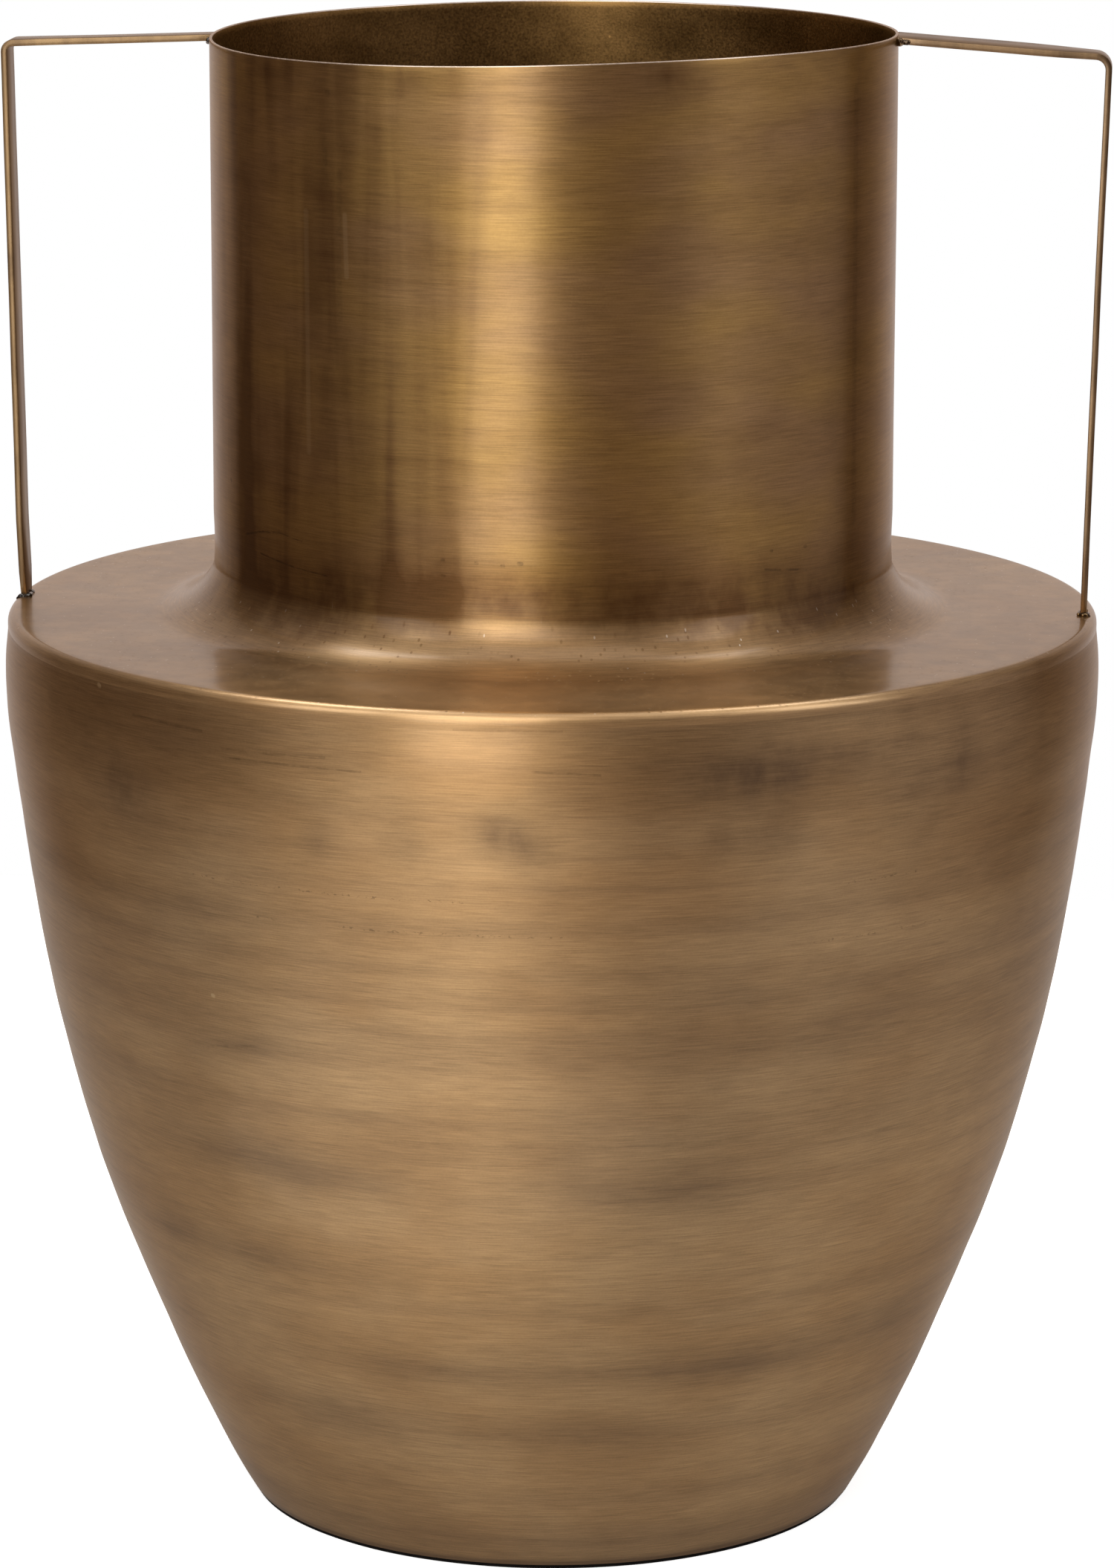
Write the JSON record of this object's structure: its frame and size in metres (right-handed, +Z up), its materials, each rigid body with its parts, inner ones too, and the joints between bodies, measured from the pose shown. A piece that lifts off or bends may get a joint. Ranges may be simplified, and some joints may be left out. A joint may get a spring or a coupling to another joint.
{
  "type": "urn vase",
  "caption": "Tall sheet-metal urn vase with a tapering belly, flat shoulder, wide straight neck and two bent strap handles, antique brass finish.",
  "frame": {"origin": "centre of the base, on the surface that the vase stands on", "axes": "+Z up along the vase's axis, +X towards the right handle, -Y the front"},
  "size_m": [0.34, 0.3396, 0.461],
  "materials": {
    "spun_brass": "brushed antique brass, spun",
    "neck_brass": "brushed antique brass",
    "strap_brass": "satin antique brass",
    "weld": "rough, darkened",
    "pad": "matte black"
  },
  "bodies": {
    "root": {"body_shell": "spun_brass", "shoulder_plate": "spun_brass", "neck_tube": "neck_brass", "base_plate": "spun_brass", "left_handle": "strap_brass", "right_handle": "strap_brass", "base_pad": "pad", "base_weld": "weld", "shoulder_weld": "weld", "collar_weld": "weld", "left_rim_weld": "weld", "right_rim_weld": "weld", "left_foot_weld": "weld", "right_foot_weld": "weld"}
  },
  "joints": []
}
